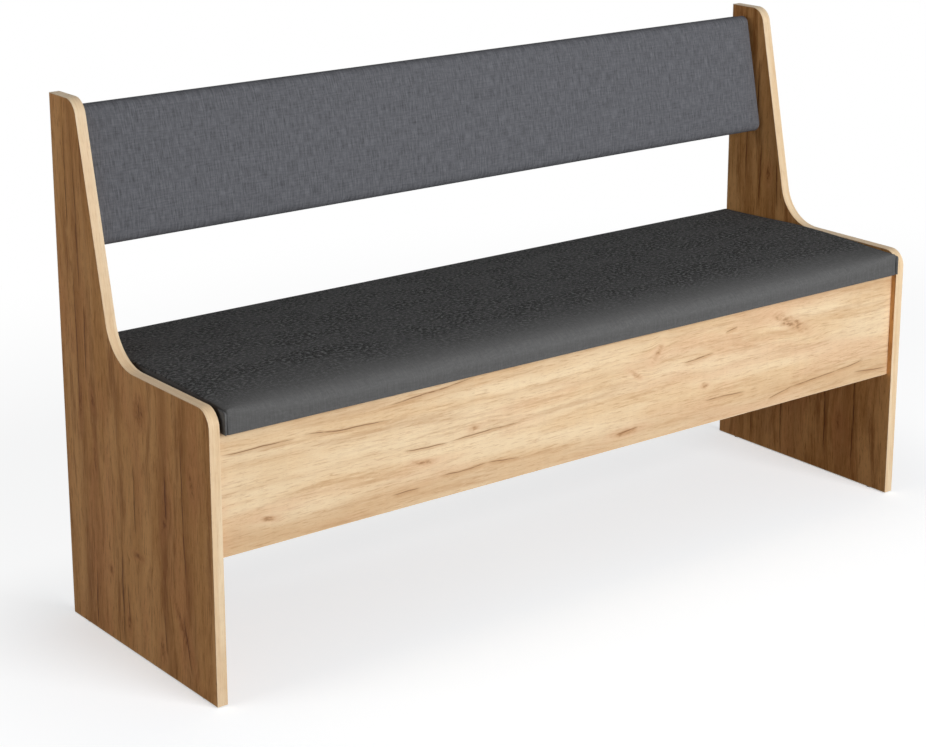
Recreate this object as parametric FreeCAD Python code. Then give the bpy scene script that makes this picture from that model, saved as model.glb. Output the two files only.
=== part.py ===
import FreeCAD, Part
import math
import os
from collections import namedtuple

# A dining bench: two shaped sides carry a chest, whose upholstered lid is the seat, and an
# upholstered backrest. Millimetres. X runs along the bench, +Y to its back and +Z up, and the
# origin is on the floor under the middle of the whole bench.

V = FreeCAD.Vector

# Overall sizes
overall_length = 1500.0
overall_height = 880.0
side_depth = 450.0
shoulder_height = 475.0  # top of the low front part of each side
board = 18.0  # coated chipboard of the sides and panels

# Outline of a side
top_width = 78.0  # from the back edge to the slanted edge, at the very top
lean = 12.0  # degrees, of the slanted edge and of the backrest
top_radius = 30.0
shoulder_radius = 30.0
throat_radius = 80.0

# Edge bands
band = 1.0
glue_line = 0.1

# Floor glides
glide_height = 2.0
glide_diameter = 15.0
glide_inset = 45.0  # its centre from the front or back edge of the side
glide_nail = 2.0
glide_nail_length = 12.0

# Chest
panel_recess = 11.0  # front and back panels behind the edges of the sides
apron_height = 198.0
bottom_sheet = 3.0
bottom_inset = 22.0  # chest bottom above the lower edges of the panels
groove_depth = 8.0
sheet_clearance = 0.1  # above and below the sheet in its groove
sheet_edge_clearance = 0.5
stretcher_width = 80.0

# Knock-down fittings
cam_diameter = 15.0
cam_distance = 34.0  # from the end of the board to the middle of the cam
cam_floor = 0.5  # what is left of the cam under the bolt's channel
cam_edge = 45.0  # first and last cam from the panel's edges
cam_slot = 8.0
bolt_thread = 5.0
bolt_thread_length = 11.0
bolt_shank = 6.0
bolt_neck = 3.4
bolt_neck_length = 6.0
bolt_head_length = 3.0
bolt_channel = 7.2
dowel_diameter = 8.0
dowel_in_end = 18.0
dowel_in_face = 12.0
dowel_chamfer = 1.0
dowel_edge = 80.0  # first and last dowel from the panel's edges
stretcher_dowel_edge = 15.0
hole_end_gap = 1.0  # a blind hole is this much deeper than what goes in
fitting_clearance = 0.05  # around a fitting in its hole

# Upholstery
cover = 1.2
cover_ease = 0.3  # between the cover and its filling
filling_board = 16.0
flange = 55.0  # the cover, turned under the board
lining = 0.6
lining_overlap = 15.0  # lining over the turned-under cover
end_crown = 0.4  # what is left of a crown at the ends of its pad
end_steps = 4  # flats that round a pad's end over
crown_steps = 4  # flats in which a crown dies out
staple_wire = 0.9
staple_width = 10.0
staple_leg = 8.0
staple_pitch = 70.0
staple_inset = 7.0  # from the edge of the lining

# Seat
seat_overhang = 7.5  # in front of the sides
seat_rear_inset = 3.0  # before the back edge of the sides
seat_end_gap = 8.0
seat_thickness = 42.0  # with its crown
seat_rise = 1.5  # its crown above the shoulders of the sides
seat_crown = 3.5
seat_front_radius = 20.0
seat_rear_radius = 13.0
seat_end_radius = 7.0
seat_corner = 4.0
seat_crown_run = 110.0  # from each end to where the crown is full
rest_gap = 0.3  # between the closed lid and what it rests on

# Backrest
backrest_height = 225.0  # along its lean
backrest_thickness = 41.0  # with its crown
backrest_recess = 26.0  # behind the slanted edge
backrest_drop = 13.0  # below the top of the sides
backrest_end_gap = 2.5
backrest_crown = 3.0
backrest_edge_radius = 18.0
backrest_end_radius = 11.0
backrest_corner = 4.0
backrest_crown_run = 80.0

# Backrest brackets
bracket_leg = 25.0
bracket_width = 40.0
bracket_steel = 2.0
bracket_bend = 3.0
bracket_hole_pitch = 22.0
bracket_lower = 38.0  # middle of the lower brackets above the backrest's lower edge
bracket_upper = 118.0

# Hinges of the lid
hinge_length = 60.0
hinge_steel = 1.5
hinge_leaf = 30.0  # from the knuckles to the leaf's free edge
hinge_inset = 180.0  # middle of the outer hinges from the sides
knuckle_radius = 3.5
knuckle_count = 5
knuckle_gap = 0.3  # between knuckles, and around them
leaf_gap = 0.5  # between a leaf and the other leaf's knuckles
pin_diameter = 4.0
pin_fixed_clearance = 0.02
pin_running_clearance = 0.05
hinge_screw_count = 3
hinge_screw_pitch = 21.0
hinge_screw_edge = 9.0  # from the leaf's free edge

# Screws
screw_shank = 3.5
hinge_screw_length = 13.0
bracket_screw_length = 14.0
screw_head = 6.6
pan_head_height = 2.2
recess_width = 0.9
recess_length = 3.0
recess_depth = 0.8

# Places that follow from the sizes
side_back_y = (side_depth + seat_overhang) / 2
side_front_y = side_back_y - side_depth
half_length = overall_length / 2
side_inner_x = half_length - board
lean_rise = math.tan(math.radians(lean))
seat_front_y = side_front_y - seat_overhang
seat_bottom = shoulder_height + seat_rise - seat_thickness
front_y = side_front_y + panel_recess
front_inner_y = front_y + board
back_y = side_back_y - panel_recess
back_inner_y = back_y - board
front_top = seat_bottom - rest_gap
back_top = front_top - hinge_steel
chest_bottom = front_top - apron_height
sheet_low = chest_bottom + bottom_inset
sheet_high = sheet_low + bottom_sheet
stretcher_low = sheet_low - board
hinge_y = back_y + knuckle_radius + knuckle_gap
hinge_z = seat_bottom - knuckle_radius - knuckle_gap
hinge_leaf_front_y = hinge_y - knuckle_radius - hinge_leaf
hinge_xs = {"left": hinge_inset - side_inner_x, "centre": 0.0, "right": side_inner_x - hinge_inset}
signs = {"left": -1, "right": 1}

UP = V(0, 0, 1)
BACK = V(0, 1, 0)
RIGHT = V(1, 0, 0)

nodes = {}


def keep(name, shapes):
    """Store one node: one solid, or a group of separate solids."""
    solids = [solid for shape in shapes for solid in shape.Solids]
    nodes[name] = solids[0] if len(solids) == 1 else Part.makeCompound(solids)


def box(x, y, z):
    """Box between pairs of values along the three axes."""
    return Part.makeBox(x[1] - x[0], y[1] - y[0], z[1] - z[0], V(x[0], y[0], z[0]))


def rod(base, direction, diameter, length):
    return Part.makeCylinder(diameter / 2, length, base, direction)


def turned(profile):
    """Solid of revolution about +Z of a closed profile of (radius, height) points."""
    points = [V(radius, 0, height) for radius, height in profile]
    return Part.Face(Part.makePolygon(points + points[:1])).revolve(V(), UP, 360)


def placed(shape, base, direction):
    """Copy of a shape whose +Z now points along direction, from base."""
    copy = shape.copy()
    copy.Placement = FreeCAD.Placement(base, FreeCAD.Rotation(UP, direction))
    return copy


def moved(shape, placement):
    """Copy of a shape, taken from a local frame to the place of that frame."""
    copy = shape.copy()
    copy.Placement = placement.multiply(copy.Placement)
    return copy


def rounded_outline(corners, at):
    """Closed wire through corners (a, b, radius), each rounded by a tangent arc."""
    points = [V(a, b, 0) for a, b, radius in corners]
    following = points[1:] + points[:1]
    arcs = []
    for last, here, after, corner in zip(points[-1:] + points, points, following, corners):
        to_last = (last - here).normalize()
        to_next = (after - here).normalize()
        half = to_last.getAngle(to_next) / 2
        reach = corner[2] / math.tan(half)
        depth = corner[2] / math.sin(half) - corner[2]
        middle = here + (to_last + to_next).normalize() * depth
        arcs.append((at(here + to_last * reach), at(middle), at(here + to_next * reach), corner[2]))
    edges = []
    for (start, middle, end, radius), (next_start, *rest) in zip(arcs, arcs[1:] + arcs[:1]):
        if radius:
            edges.append(Part.Arc(start, middle, end).toShape())
        edges.append(Part.LineSegment(end, next_start).toShape())
    return Part.Wire(edges)


# Screws and knock-down fittings

def screw_profile(length, pan_head, extra):
    """Outline of a screw from its seat, grown all round by extra for its hole."""
    shank = screw_shank / 2 + extra
    head = screw_head / 2 + extra
    tip = length - screw_shank
    point = [(shank, tip), (0, length + extra)]
    if pan_head:
        top = -pan_head_height
        rim = head - pan_head_height / 2
        return [(0, top), (rim, top), (head, top / 2), (head, 0), (shank, 0)] + point
    return [(0, 0), (head, 0), (shank, hinge_steel)] + point


def screw(length, pan_head):
    """Pointed screw along +Z with a cross recess in its head, and the hole it makes."""
    top = -pan_head_height if pan_head else 0.0
    body = turned(screw_profile(length, pan_head, 0.0))
    for across in (RIGHT, BACK):
        half = V(recess_width, recess_width, 0) / 2 + across * (recess_length - recess_width) / 2
        body = body.cut(box((-half.x, half.x), (-half.y, half.y), (top, top + recess_depth)))
    return body, turned(screw_profile(length, pan_head, fitting_clearance))


def cam_joint(point, outward, face):
    """Cam and bolt that pull the end of one board to the face of another.

    point is on the joint, on the bolt's axis; outward leads into the other board, and face to
    the side of the first board that the cam is let into. Returns the bolt, the cam, the hole in
    the other board and the holes in the first one.
    """
    bolt_reach = cam_distance + bolt_head_length / 2
    neck_start = bolt_reach - bolt_head_length - bolt_neck_length
    bolt = rod(point, outward, bolt_thread, bolt_thread_length)
    bolt = bolt.fuse(rod(point, -outward, bolt_shank, neck_start))
    bolt = bolt.fuse(rod(point, -outward, bolt_neck, bolt_reach))
    head_base = point - outward * (bolt_reach - bolt_head_length)
    bolt = bolt.fuse(rod(head_base, -outward, bolt_shank, bolt_head_length)).removeSplitter()

    cam_base = point - outward * cam_distance + face * (board / 2)
    cam_depth = (board + bolt_channel) / 2 + cam_floor
    channel_base = point - outward * (cam_distance + bolt_channel / 2)
    channel = rod(channel_base, outward, bolt_channel, cam_distance + bolt_channel / 2)
    cam = rod(cam_base, -face, cam_diameter, cam_depth).cut(channel)
    slot_across = outward.cross(face)
    slot_y = (-recess_width / 2, recess_width / 2)
    for along in (outward + slot_across, outward - slot_across):
        slot = box((-cam_slot / 2, cam_slot / 2), slot_y, (0, recess_depth))
        turn = FreeCAD.Rotation(along, V(), -face, "ZXY")
        slot.Placement = FreeCAD.Placement(cam_base, turn)
        cam = cam.cut(slot)

    grown = 2 * fitting_clearance
    other_hole = rod(point, outward, bolt_thread + grown, bolt_thread_length + hole_end_gap)
    cam_hole = rod(cam_base, -face, cam_diameter + grown, cam_depth + fitting_clearance)
    return bolt, cam, other_hole, [channel, cam_hole]


def dowel_joint(point, outward):
    """Dowel across a joint, the hole in the face of the other board and the one in the end."""
    radius = dowel_diameter / 2
    length = dowel_in_end + dowel_in_face
    narrow = radius - dowel_chamfer
    outline = [(0, 0), (narrow, 0), (radius, dowel_chamfer), (radius, length - dowel_chamfer)]
    peg = turned(outline + [(narrow, length), (0, length)])
    dowel = placed(peg, point - outward * dowel_in_end, outward)
    grown = dowel_diameter + 2 * fitting_clearance
    face_hole = rod(point, outward, grown, dowel_in_face + hole_end_gap)
    return dowel, face_hole, rod(point, -outward, grown, dowel_in_end + hole_end_gap)


# Sides, chest and glides

def slant_y(height):
    """Where the slanted front edge of the sides is at a height."""
    return side_back_y - top_width - (overall_height - height) * lean_rise


def side_wire(start_x):
    corners = [
        (side_back_y, glide_height, 0.0),
        (side_front_y, glide_height, 0.0),
        (side_front_y, shoulder_height, shoulder_radius),
        (slant_y(shoulder_height), shoulder_height, throat_radius),
        (slant_y(overall_height), overall_height, top_radius),
        (side_back_y, overall_height, 0.0),
    ]
    return rounded_outline(corners, lambda p: V(start_x, p.x, p.y))


def build_sides(holes, glide_holes):
    """Each side is a board with a band glued round all its edges."""
    for name, sign in signs.items():
        wire = side_wire(-half_length if sign < 0 else side_inner_x)
        thick = RIGHT * board
        core = Part.Face(wire.makeOffset2D(-band - glue_line)).extrude(thick)
        strip = Part.Face(wire).extrude(thick).cut(Part.Face(wire.makeOffset2D(-band)).extrude(thick))
        keep(f"{name}_side_panel", [core.cut(holes[name] + glide_holes)])
        keep(f"{name}_side_edge_band", [strip.cut(glide_holes)])


def build_glides():
    """Nail-on glides near the corners of both sides. Returns the holes of their nails."""
    glides, holes = [], []
    for x in (board / 2 - half_length, half_length - board / 2):
        for y in (side_front_y + glide_inset, side_back_y - glide_inset):
            foot = rod(V(x, y, 0), UP, glide_diameter, glide_height)
            top = V(x, y, glide_height)
            glides.append(foot.fuse(rod(top, UP, glide_nail, glide_nail_length)))
            hole_depth = glide_nail_length + hole_end_gap
            holes.append(rod(top, UP, glide_nail + 2 * fitting_clearance, hole_depth))
    keep("floor_glides", glides)
    return holes


def banded_panel(name, y, top, holes):
    """Long panel of the chest on edge, with a band along its upper and lower edge."""
    x = (-side_inner_x, side_inner_x)
    inner = band + glue_line
    keep(f"{name}_panel", [box(x, y, (chest_bottom + inner, top - inner)).cut(holes)])
    strips = [box(x, y, (chest_bottom, chest_bottom + band)), box(x, y, (top - band, top))]
    keep(f"{name}_panel_edge_bands", strips)


def build_chest(frame_screw_holes):
    """Front and back panels, grooved bottom sheet, stretcher and all their fittings.

    Returns the holes that the fittings need in the left and right sides.
    """
    side_holes = {"left": [], "right": []}
    panel_holes = {"front": [], "back": list(frame_screw_holes)}
    stretcher_holes = []
    cams, bolts, dowels = [], [], []

    def fasten(cam_point, dowel_points, outward, face, other_holes, own_holes):
        for point in cam_point:
            bolt, cam, other, own = cam_joint(point, outward, face)
            bolts.append(bolt)
            cams.append(cam)
            other_holes.append(other)
            own_holes.extend(own)
        for point in dowel_points:
            dowel, other, own = dowel_joint(point, outward)
            dowels.append(dowel)
            other_holes.append(other)
            own_holes.append(own)

    panels = {"front": (front_y, BACK, front_top), "back": (back_inner_y, -BACK, back_top)}
    for panel, (y, face, top) in panels.items():
        for side, sign in signs.items():
            middle = V(sign * side_inner_x, y + board / 2, 0)
            cam_points = [middle + UP * z for z in (chest_bottom + cam_edge, top - cam_edge)]
            dowel_points = [middle + UP * z for z in (chest_bottom + dowel_edge, top - dowel_edge)]
            fasten(cam_points, dowel_points, RIGHT * sign, face, side_holes[side], panel_holes[panel])

    stretcher_z = stretcher_low + board / 2
    dowel_x = stretcher_width / 2 - stretcher_dowel_edge
    for panel, y, outward in (("front", front_inner_y, -BACK), ("back", back_inner_y, BACK)):
        dowel_points = [V(x, y, stretcher_z) for x in (-dowel_x, dowel_x)]
        fasten([V(0, y, stretcher_z)], dowel_points, outward, -UP, panel_holes[panel], stretcher_holes)

    sheet_y = (front_inner_y - groove_depth, back_inner_y + groove_depth)
    groove_z = (sheet_low - sheet_clearance, sheet_high + sheet_clearance)
    groove = box((-side_inner_x, side_inner_x), sheet_y, groove_z)
    banded_panel("front", (front_y, front_inner_y), front_top, panel_holes["front"] + [groove])
    banded_panel("back", (back_inner_y, back_y), back_top, panel_holes["back"] + [groove])
    sheet_x = side_inner_x - sheet_edge_clearance
    inner_y = (sheet_y[0] + sheet_edge_clearance, sheet_y[1] - sheet_edge_clearance)
    keep("bottom_panel", [box((-sheet_x, sheet_x), inner_y, (sheet_low, sheet_high))])
    stretcher_x = (-stretcher_width / 2, stretcher_width / 2)
    stretcher = box(stretcher_x, (front_inner_y, back_inner_y), (stretcher_low, sheet_low))
    keep("centre_stretcher", [stretcher.cut(stretcher_holes)])
    keep("cam_housings", cams)
    keep("cam_bolts", bolts)
    keep("wood_dowels", dowels)
    return side_holes


# Upholstered pads

pad_sizes = "length width thickness crown crown_run low_radius high_radius end_radius corner"
Pad = namedtuple("Pad", pad_sizes)


def pad_section(pad, x, drawn_in, top, crown, inset):
    """Wire across a pad at x: flat below, upright sides, rounded edges and a crowned top."""
    low, high = inset + drawn_in, pad.width - inset - drawn_in
    top = top - inset
    straight = cover + filling_board
    low_r = min(pad.low_radius - inset, top - straight)
    high_r = min(pad.high_radius - inset, top - straight)
    base = cover if inset else 0.0
    slope = math.sqrt(0.5)

    def at(y, z):
        return V(x, y, z)

    low_side, low_top = at(low, top - low_r), at(low + low_r, top)
    high_side, high_top = at(high, top - high_r), at(high - high_r, top)
    low_mid = at(low + low_r * (1 - slope), top - low_r * (1 - slope))
    high_mid = at(high - high_r * (1 - slope), top - high_r * (1 - slope))
    summit = at((low + low_r + high - high_r) / 2, top + crown)
    edges = [
        Part.LineSegment(at(low, base), at(high, base)),
        Part.LineSegment(at(high, base), high_side),
        Part.Arc(high_side, high_mid, high_top),
        Part.Arc(high_top, summit, low_top),
        Part.Arc(low_top, low_mid, low_side),
        Part.LineSegment(low_side, at(low, base)),
    ]
    return Part.Wire([edge.toShape() for edge in edges])


def pad_form(pad, inset):
    """Closed form of a pad in its own frame, or of its filling where inset is more than 0.

    X runs along the pad from its middle, Y across it and Z up from its underside. Sections of
    lines and arcs stand along X, ruled together. Towards each end the crown dies out as a
    parabola, and the last sections turn down and in on a quarter circle.
    """
    flat_top = pad.thickness - pad.crown
    stations = []
    for step in range(end_steps + 1):
        turn = math.pi / 2 * (1 - step / end_steps)
        stations.append((pad.end_radius * (1 - math.sin(turn)), 1 - math.cos(turn)))
    crown_reach = pad.crown_run - pad.end_radius
    for step in range(1, crown_steps + 1):
        stations.append((pad.end_radius + crown_reach * step / crown_steps, 0.0))
    ends = []
    for end in (-1, 1):
        wires = []
        for from_end, turned_in in stations:
            rise = 1 - (1 - from_end / pad.crown_run) ** 2
            crown = end_crown + (pad.crown - end_crown) * rise
            top = flat_top - pad.end_radius * turned_in
            x = end * (pad.length / 2 - inset - from_end)
            wires.append(pad_section(pad, x, pad.corner * turned_in, top, crown, inset))
        ends.append(wires)
    return Part.makeLoft(ends[0] + ends[1][::-1], True, True)


def staples_round(x, y):
    """Staples along the sides of a rectangle under a board, their legs up in the board."""
    crown_z = (-lining - staple_wire, -lining)
    half, wire = staple_width / 2, staple_wire / 2
    crown = box((-half, half), (-wire, wire), crown_z)
    leg_z = (-lining, staple_leg)
    leg_xs = ((-half, staple_wire - half), (half - staple_wire, half))
    legs = [box(leg_x, (-wire, wire), leg_z) for leg_x in leg_xs]
    staple = crown.multiFuse(legs).removeSplitter()
    staples = []
    for corner, far, direction in (
        (V(x[0], y[0], 0), x[1] - x[0], RIGHT),
        (V(x[0], y[1], 0), x[1] - x[0], RIGHT),
        (V(x[0], y[0], 0), y[1] - y[0], BACK),
        (V(x[1], y[0], 0), y[1] - y[0], BACK),
    ):
        count = max(2, int(far // staple_pitch))
        turn = FreeCAD.Rotation(RIGHT, direction)
        for place in range(count):
            copy = staple.copy()
            copy.Placement = FreeCAD.Placement(corner + direction * (far * (place + 0.5) / count), turn)
            staples.append(copy)
    return staples


def upholster(name, lining_name, pad, lining_x, lining_y, placement, holes):
    """Board, foam, cover, lining and staples of one pad, stored at their place."""
    outer = pad_form(pad, 0.0)
    half = pad.length / 2
    opening_x = (flange - half, half - flange)
    opening = box(opening_x, (flange, pad.width - flange), (0, 2 * cover))
    skin = outer.cut([pad_form(pad, cover), opening])
    filling = pad_form(pad, cover + cover_ease)
    slab = box((-half, half), (0, pad.width), (0, cover + filling_board))
    sheet = box(lining_x, lining_y, (-lining, 0))
    row_x = (lining_x[0] + staple_inset, lining_x[1] - staple_inset)
    row_y = (lining_y[0] + staple_inset, lining_y[1] - staple_inset)

    def store(part, shapes):
        keep(part, [moved(shape, placement) for shape in shapes])

    store(f"{name}_cover", [skin.cut(holes)])
    store(f"{name}_board", [filling.common(slab).cut(holes)])
    store(f"{name}_foam", [filling.cut(slab)])
    store(lining_name, [sheet])
    store(f"{name}_staples", staples_round(row_x, row_y))


def build_seat(lid_screw_holes):
    """The lid: an upholstered board that lies on the front and back panels."""
    seat_depth = side_depth + seat_overhang - seat_rear_inset
    seat_length = 2 * (side_inner_x - seat_end_gap)
    seat = Pad(
        seat_length, seat_depth, seat_thickness, seat_crown, seat_crown_run,
        seat_front_radius, seat_rear_radius, seat_end_radius, seat_corner,
    )
    lining_x = seat_length / 2 - flange + lining_overlap
    to_frame = FreeCAD.Placement(V(0, seat_front_y, seat_bottom), FreeCAD.Rotation())
    lining_rear = min(seat_depth - flange + lining_overlap, hinge_leaf_front_y - seat_front_y - leaf_gap)
    lining_y = (flange - lining_overlap, lining_rear)
    upholster(
        "seat", "seat_underside_lining", seat, (-lining_x, lining_x), lining_y,
        to_frame, [moved(hole, to_frame.inverse()) for hole in lid_screw_holes],
    )


def backrest_placement():
    """Frame of the backrest: Y up along its lean, Z to the front, origin at its low rear edge."""
    tilt = math.radians(lean)
    along = V(0, math.sin(tilt), math.cos(tilt))
    front = V(0, -math.cos(tilt), math.sin(tilt))
    edge_z = overall_height - backrest_drop + backrest_recess * math.sin(tilt)
    top_front = V(0, slant_y(edge_z), edge_z) - front * backrest_recess
    origin = top_front - along * backrest_height - front * backrest_thickness
    return FreeCAD.Placement(origin, FreeCAD.Rotation(RIGHT, 90 - lean))


def build_backrest(placement):
    """Upholstered backrest and the steel angles behind it. Returns the screw holes in the sides."""
    backrest_length = 2 * (side_inner_x - backrest_end_gap)
    backrest = Pad(
        backrest_length, backrest_height, backrest_thickness, backrest_crown, backrest_crown_run,
        backrest_edge_radius, backrest_edge_radius, backrest_end_radius, backrest_corner,
    )
    angle_corners = [
        (0, 0, bracket_bend), (bracket_leg, 0, 0), (bracket_leg, bracket_steel, 0),
        (bracket_steel, bracket_steel, bracket_bend - bracket_steel),
        (bracket_steel, bracket_leg, 0), (0, bracket_leg, 0),
    ]
    angle_wire = rounded_outline(angle_corners, lambda p: V(p.x, 0, p.y))
    angle = Part.Face(angle_wire).extrude(BACK * bracket_width)
    pan, pan_hole = screw(bracket_screw_length, True)
    hole_leg = (bracket_leg + bracket_bend) / 2
    side_holes = {"left": [], "right": []}
    screws, board_holes = [], []
    for side, sign in signs.items():
        # One leg lies on the side, the other on the back of the board
        face_x = sign * side_inner_x
        turn = FreeCAD.Rotation(RIGHT * -sign, BACK * sign, -UP, "ZXY")
        for level, middle in (("lower", bracket_lower), ("upper", bracket_upper)):
            corner = V(face_x, middle - sign * bracket_width / 2, 0)
            bracket = angle.copy()
            bracket.Placement = FreeCAD.Placement(corner, turn)
            holes_here = []
            for y in (middle - bracket_hole_pitch / 2, middle + bracket_hole_pitch / 2):
                on_board = V(face_x - sign * hole_leg, y, -bracket_steel)
                on_side = V(face_x - sign * bracket_steel, y, -hole_leg)
                for base, inward, others in (
                    (on_board, UP, board_holes),
                    (on_side, RIGHT * sign, side_holes[side]),
                ):
                    screws.append(moved(placed(pan, base, inward), placement))
                    hole = placed(pan_hole, base, inward)
                    holes_here.append(hole)
                    others.append(hole)
            keep(f"{side}_{level}_bracket", [moved(bracket.cut(holes_here), placement)])
    keep("bracket_screws", screws)
    lining_x = backrest_length / 2 - flange + lining_overlap
    lining_y = (flange - lining_overlap, backrest_height - flange + lining_overlap)
    upholster(
        "backrest", "backrest_rear_lining", backrest, (-lining_x, lining_x), lining_y,
        placement, board_holes,
    )
    return {side: [moved(hole, placement) for hole in holes] for side, holes in side_holes.items()}


# Hinges

def leaf(plate, tab, knuckles, clearance):
    """Hinge leaf: a plate, and knuckles with the tabs that roll into them, bored for the pin."""
    pitch = hinge_length / knuckle_count
    shape = plate
    for place in knuckles:
        start = place * pitch - hinge_length / 2
        x = (start + knuckle_gap / 2, start + pitch - knuckle_gap / 2)
        shape = shape.fuse(rod(V(x[0], 0, 0), RIGHT, 2 * knuckle_radius, x[1] - x[0]))
        shape = shape.fuse(box(x, *tab))
    bore = rod(V(-hinge_length / 2, 0, 0), RIGHT, pin_diameter + 2 * clearance, hinge_length)
    return shape.cut(bore).removeSplitter()


def build_hinges():
    """Three butt hinges at the lid's rear edge. Returns screw holes for the panel and the lid.

    Each is built about its own pin. The fixed leaf hangs down on the back face of the back panel,
    and the lid leaf runs forward under the lid, over the top edge of the panel.
    """
    half = hinge_length / 2
    length = (-half, half)
    near = -knuckle_radius - knuckle_gap
    face = (near, near + hinge_steel)
    under = (-near - hinge_steel, -near)
    start = -knuckle_radius - leaf_gap
    end = -knuckle_radius - hinge_leaf
    fixed_plate = box(length, face, (end, start))
    lid_plate = box(length, (end, start), under)
    fixed = leaf(fixed_plate, (face, (start, 0)), range(0, knuckle_count, 2), pin_fixed_clearance)
    lid = leaf(lid_plate, ((start, 0), under), range(1, knuckle_count, 2), pin_running_clearance)
    pin = rod(V(-half, 0, 0), RIGHT, pin_diameter, hinge_length)

    countersunk, sink_hole = screw(hinge_screw_length, False)
    first = -hinge_screw_pitch * (hinge_screw_count - 1) / 2
    screw_xs = [first + hinge_screw_pitch * place for place in range(hinge_screw_count)]
    row = end + hinge_screw_edge
    fixed_places = [(V(x, face[1], row), -BACK) for x in screw_xs]
    lid_places = [(V(x, row, under[0]), UP) for x in screw_xs]
    fixed = fixed.cut([placed(sink_hole, *place) for place in fixed_places])
    lid = lid.cut([placed(sink_hole, *place) for place in lid_places])

    frame_screws, frame_holes, lid_screws, lid_holes = [], [], [], []
    for name, x in hinge_xs.items():
        here = FreeCAD.Placement(V(x, hinge_y, hinge_z), FreeCAD.Rotation())
        keep(f"{name}_hinge_fixed_leaf", [moved(fixed, here)])
        keep(f"{name}_hinge_lid_leaf", [moved(lid, here)])
        keep(f"{name}_hinge_pin", [moved(pin, here)])
        frame_screws += [moved(placed(countersunk, *place), here) for place in fixed_places]
        frame_holes += [moved(placed(sink_hole, *place), here) for place in fixed_places]
        lid_screws += [moved(placed(countersunk, *place), here) for place in lid_places]
        lid_holes += [moved(placed(sink_hole, *place), here) for place in lid_places]
    keep("hinge_frame_screws", frame_screws)
    keep("hinge_lid_screws", lid_screws)
    return frame_holes, lid_holes


def main():
    frame_screw_holes, lid_screw_holes = build_hinges()
    build_seat(lid_screw_holes)
    bracket_holes = build_backrest(backrest_placement())
    chest_holes = build_chest(frame_screw_holes)
    glide_holes = build_glides()
    build_sides({side: chest_holes[side] + bracket_holes[side] for side in signs}, glide_holes)
    os.makedirs("parts", exist_ok=True)
    for name, shape in nodes.items():
        shape.exportStep(f"parts/{name}.step")


main()
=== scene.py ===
"""Looks of the dining bench: oak boards, steel fittings, two upholstered pads and their linings.

Metres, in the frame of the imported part: X runs along the bench, +Y to its back and +Z up.
"""

import math
from collections import namedtuple

import bmesh
import bpy
import numpy as np
from mathutils import Matrix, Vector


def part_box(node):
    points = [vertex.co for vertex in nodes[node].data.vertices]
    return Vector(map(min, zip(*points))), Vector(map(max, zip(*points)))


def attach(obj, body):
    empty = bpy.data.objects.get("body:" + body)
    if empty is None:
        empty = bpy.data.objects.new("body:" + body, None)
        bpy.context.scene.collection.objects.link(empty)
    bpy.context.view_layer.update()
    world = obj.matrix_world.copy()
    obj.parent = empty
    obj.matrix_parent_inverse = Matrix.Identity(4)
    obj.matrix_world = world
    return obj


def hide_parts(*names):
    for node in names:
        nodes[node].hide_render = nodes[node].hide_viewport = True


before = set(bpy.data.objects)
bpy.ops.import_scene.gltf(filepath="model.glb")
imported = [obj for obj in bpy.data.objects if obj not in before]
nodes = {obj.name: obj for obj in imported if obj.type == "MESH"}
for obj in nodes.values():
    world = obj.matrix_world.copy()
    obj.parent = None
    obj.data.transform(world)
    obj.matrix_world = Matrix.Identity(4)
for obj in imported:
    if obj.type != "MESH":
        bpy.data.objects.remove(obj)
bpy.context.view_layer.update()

MM = 0.001

# Camera, close to the photograph's: where it stands, and how it is turned, in metres and degrees
CAMERA_PLACE = (-2.3737, -2.9282, 1.5515)
CAMERA_YAW = 37.712
CAMERA_PITCH = 15.646
CAMERA_LENS_MM = 88.2
CAMERA_SHIFT = -0.1
CAMERA_REACH = 100.0

# Studio
WHITE = (1.0, 1.0, 1.0, 1.0)
Lamp = namedtuple("Lamp", "name place aim size watts")
LAMPS = (
    Lamp("key", (0.5, -4.0, 1.75), (0.0, 0.0, 0.45), (2.8, 1.8), 148.0),
    Lamp("left_fill", (-3.6, 0.4, 1.6), (0.0, 0.0, 0.4), (2.0, 1.6), 20.0),
)
ROOM_LIGHT = 0.13  # what the world gives to every face, of the full level
FLOOR_RADIUS = 14.0
FLOOR_PAINT = (0.92, 0.96, 1.0, 1.0)  # as the camera sees it
FLOOR_BOUNCE = (0.35, 0.35, 0.35, 1.0)  # as it throws light back at the bench
FLOOR_GLOW = 0.475  # light of its own that the floor shows to the camera, close to the bench
SHADE_HALF = (0.75, 0.165)  # half sides of the patch of floor that keeps its full shade, along X and Y
SHADE_MIDDLE_Y = -0.065
FLOOR_PALE = 0.75  # share of plain white that the floor has at a short distance from that patch
FLOOR_PALE_AT = 0.4
FLOOR_WHITE_FROM = 0.8  # distance where the rest starts to turn to plain white
FLOOR_WHITE_AT = 2.0

# Pads: the sizes of one, in metres, with its low and its high long edge told apart, and its ends
Pad = namedtuple("Pad", (
    "length width thickness low_radius end_low_radius high_radius end_run end_drop corner "
    "crown end_crown fall end_fall fall_run dying_run tuck"))
SECTION_PITCH = 12.5 * MM  # between the sections of a pad's mesh, away from its ends
MERGE_DISTANCE = 0.02 * MM
HELD_HEIGHT = 1.0 * MM  # points this close to a pad's back are held while it swells
SWELL_FRAMES = 20
SWELL_ROOM = 1.2 * MM  # what a pad is made smaller by before it swells
SWELL_CAP = 2.0 * MM
SIDE_TUCK = 0.8 * MM  # how far a pad's sides swell out over the edges of its board
SEAT_LOWER = 0.8 * MM  # how much lower the seat's flat top is made, under its crown
BACKREST_LEAN = math.radians(12.0)
BACKREST_HEIGHT = 225.0 * MM  # along its lean
BACKREST_THICKNESS = 41.0 * MM  # with its crown
BACKREST_CROWN = 3.0 * MM

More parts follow.
